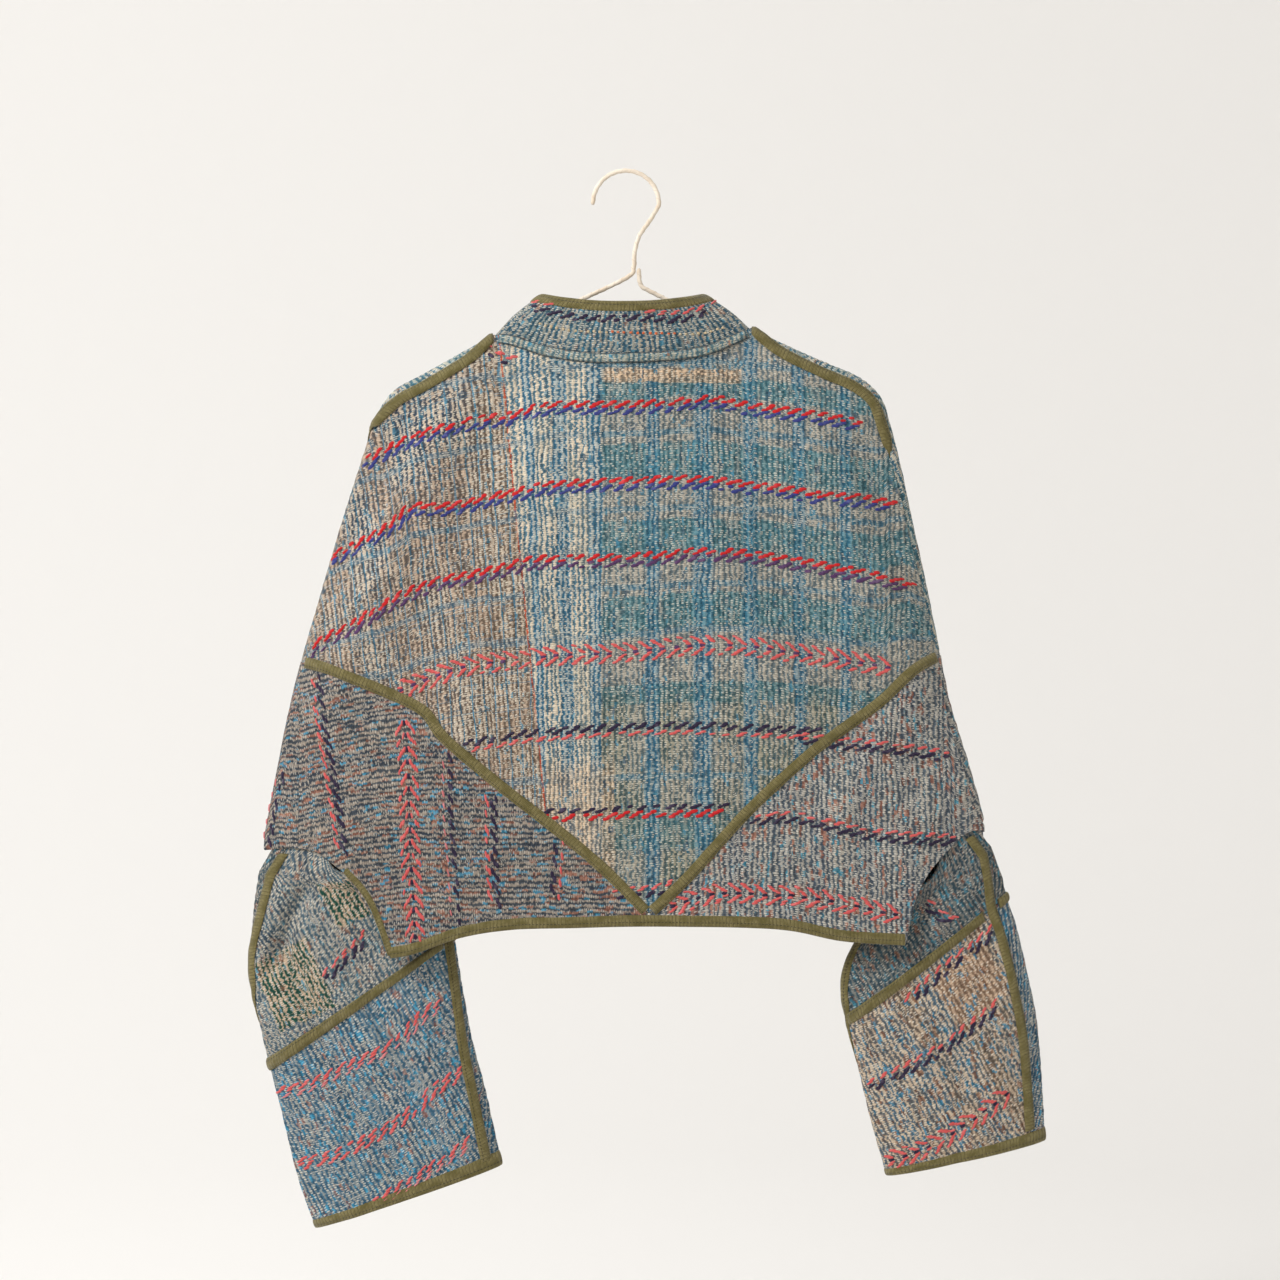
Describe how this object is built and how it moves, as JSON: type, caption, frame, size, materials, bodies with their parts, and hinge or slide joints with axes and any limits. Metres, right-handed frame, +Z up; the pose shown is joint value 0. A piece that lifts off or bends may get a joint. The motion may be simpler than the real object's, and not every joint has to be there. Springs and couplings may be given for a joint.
{
  "type": "kantha jacket on hanger",
  "caption": "Cropped quilted jacket with a stand collar, deep dolman sleeves and tape-bound seams, hanging with its back outwards on a cloth-wrapped wire hanger.",
  "frame": {"origin": "inner top of the hanger's hook, where a nail or rail bears", "axes": "+Z up, +X to the viewer's right when looking at the jacket's back, the jacket's back faces -Y and its front openings face +Y"},
  "size_m": [0.7048, 0.0812, 0.9322],
  "materials": {
    "kantha_upper": "layered worn cotton in blue, teal and tan checks and stripes, with close rows of running stitch",
    "kantha_lower": "layered worn cotton in blue-grey with rust and turquoise flecks, with close rows of running stitch",
    "kantha_upper_sleeve": "layered worn cotton in blue-grey with patches, with close rows of running stitch",
    "kantha_lower_sleeve": "layered worn cotton in blue and turquoise, with close rows of running stitch",
    "binding_tape": "folded ribbed cotton tape in olive",
    "hanger_wrap": "narrow cream cloth strip wound round steel wire"
  },
  "bodies": {
    "root": {"hanger": "hanger_wrap", "back_upper": "kantha_upper", "front_upper_left": "kantha_upper", "front_upper_right": "kantha_upper", "back_lower_left": "kantha_lower", "back_lower_right": "kantha_lower", "front_lower_left": "kantha_lower", "front_lower_right": "kantha_lower", "collar": "kantha_upper", "collar_band_back": "kantha_upper", "collar_band_front_left": "kantha_upper", "collar_band_front_right": "kantha_upper", "collar_binding": "binding_tape", "shoulder_binding_left": "binding_tape", "shoulder_binding_right": "binding_tape", "v_binding_back_left": "binding_tape", "v_binding_back_right": "binding_tape", "v_binding_front_left": "binding_tape", "v_binding_front_right": "binding_tape", "hem_binding_back": "binding_tape", "hem_binding_front_left": "binding_tape", "hem_binding_front_right": "binding_tape", "front_edge_binding_left": "binding_tape", "front_edge_binding_right": "binding_tape", "armhole_binding_back_left": "binding_tape", "armhole_binding_back_right": "binding_tape", "armhole_binding_front_left": "binding_tape", "armhole_binding_front_right": "binding_tape", "upper_sleeve_back_left": "kantha_upper_sleeve", "upper_sleeve_back_right": "kantha_upper_sleeve", "upper_sleeve_front_left": "kantha_upper_sleeve", "upper_sleeve_front_right": "kantha_upper_sleeve", "lower_sleeve_back_left": "kantha_lower_sleeve", "lower_sleeve_back_right": "kantha_lower_sleeve", "lower_sleeve_front_left": "kantha_lower_sleeve", "lower_sleeve_front_right": "kantha_lower_sleeve", "overarm_binding_left": "binding_tape", "overarm_binding_right": "binding_tape", "underarm_binding_left": "binding_tape", "underarm_binding_right": "binding_tape", "elbow_binding_back_left": "binding_tape", "elbow_binding_back_right": "binding_tape", "elbow_binding_front_left": "binding_tape", "elbow_binding_front_right": "binding_tape", "cuff_binding_left": "binding_tape", "cuff_binding_right": "binding_tape"}
  },
  "joints": []
}
